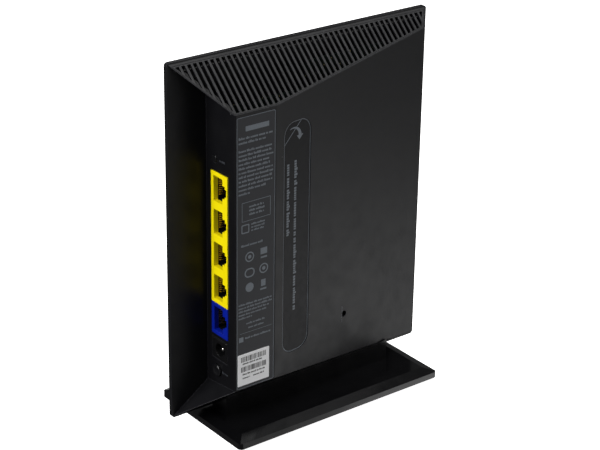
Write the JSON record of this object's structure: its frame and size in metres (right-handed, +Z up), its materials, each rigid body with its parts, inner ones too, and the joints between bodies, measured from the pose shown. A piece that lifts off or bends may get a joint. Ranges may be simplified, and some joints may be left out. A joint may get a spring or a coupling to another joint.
{
  "type": "wireless router",
  "caption": "Upright desktop wireless router with a side bay of network sockets, power inlet and buttons, a slotted vent along its top slope and a lift-off weighted stand.",
  "frame": {"origin": "on the surface it stands on, under the middle of the stand", "axes": "+Z up, -Y out of the plain front panel, +X towards the side bay with the sockets"},
  "size_m": [0.144, 0.0628, 0.1763],
  "materials": {
    "housing_plastic": "fine matte texture",
    "front_plastic": "fine matte texture",
    "grille_plastic": "fine matte texture",
    "light_guide": "clear frosted",
    "label_film": "satin film",
    "sticker_paper": "coated paper",
    "mount_film": "satin film",
    "circuit_board": "solder mask",
    "yellow_plastic": "moulded",
    "blue_plastic": "moulded",
    "gold_plate": "gold plated",
    "inlet_plastic": "moulded",
    "plated_steel": "tin plated",
    "button_plastic": "smooth",
    "switch_plastic": "moulded",
    "chip_package": "moulded epoxy",
    "pad_rubber": "soft pad",
    "sink_aluminium": "anodised",
    "ferrite": "sintered",
    "capacitor_can": "sleeved can",
    "led_body": "diffused",
    "lead_jacket": "coaxial jacket",
    "screw_steel": "black zinc",
    "stand_plastic": "semi-gloss",
    "foot_rubber": "moulded pad"
  },
  "bodies": {
    "stand": {"stand_base": "stand_plastic", "stand_neck": "stand_plastic", "stand_bottom_cover": "stand_plastic", "stand_weight": "plated_steel", "stand_feet": "foot_rubber", "neck_screws": "screw_steel", "bottom_cover_screws": "screw_steel"},
    "router_body": {"rear_cover": "housing_plastic", "front_cover": "front_plastic", "vent_grille": "grille_plastic", "light_guide": "light_guide", "rating_label": "label_film", "serial_sticker": "sticker_paper", "wall_mount_film": "mount_film", "main_board": "circuit_board", "lan_jack_block": "yellow_plastic", "wan_jack": "blue_plastic", "lan_jack_liners": "inlet_plastic", "wan_jack_liner": "inlet_plastic", "lan_jack_contacts": "gold_plate", "wan_jack_contacts": "gold_plate", "dc_jack_housing": "inlet_plastic", "dc_jack_pin": "plated_steel", "dc_jack_spring": "plated_steel", "power_switch_body": "switch_plastic", "wps_switch_body": "switch_plastic", "reset_switch_body": "switch_plastic", "processor": "chip_package", "switch_chip": "chip_package", "memory_chip": "chip_package", "flash_chip": "chip_package", "lan_transformers": "chip_package", "wan_transformer": "chip_package", "thermal_pad": "pad_rubber", "heatsink": "sink_aluminium", "inductors": "ferrite", "crystals": "plated_steel", "radio_shield_low": "plated_steel", "radio_shield_high": "plated_steel", "capacitors": "capacitor_can", "status_leds": "led_body", "antenna_board_top": "circuit_board", "antenna_board_side": "circuit_board", "antenna_lead_top": "lead_jacket", "antenna_lead_side": "lead_jacket", "housing_screws": "screw_steel"},
    "power_button": {"power_button": "button_plastic", "power_switch_plunger": "switch_plastic"},
    "wps_button": {"wps_button": "button_plastic", "wps_switch_plunger": "switch_plastic"},
    "reset_plunger": {"reset_plunger": "switch_plastic"}
  },
  "joints": [
    {"name": "stand_release", "type": "slide", "parent": "stand", "child": "router_body", "axis": [0, 0, 1], "range_m": [0, 0.012]},
    {"name": "power_press", "type": "slide", "parent": "router_body", "child": "power_button", "axis": [-1, 0, 0], "range_m": [0, 0.0015], "stiffness_N_per_m": 400},
    {"name": "wps_press", "type": "slide", "parent": "router_body", "child": "wps_button", "axis": [-1, 0, 0], "range_m": [0, 0.0005], "stiffness_N_per_m": 1500},
    {"name": "reset_press", "type": "slide", "parent": "router_body", "child": "reset_plunger", "axis": [0, -1, 0], "range_m": [0, 0.0003], "stiffness_N_per_m": 2000}
  ]
}
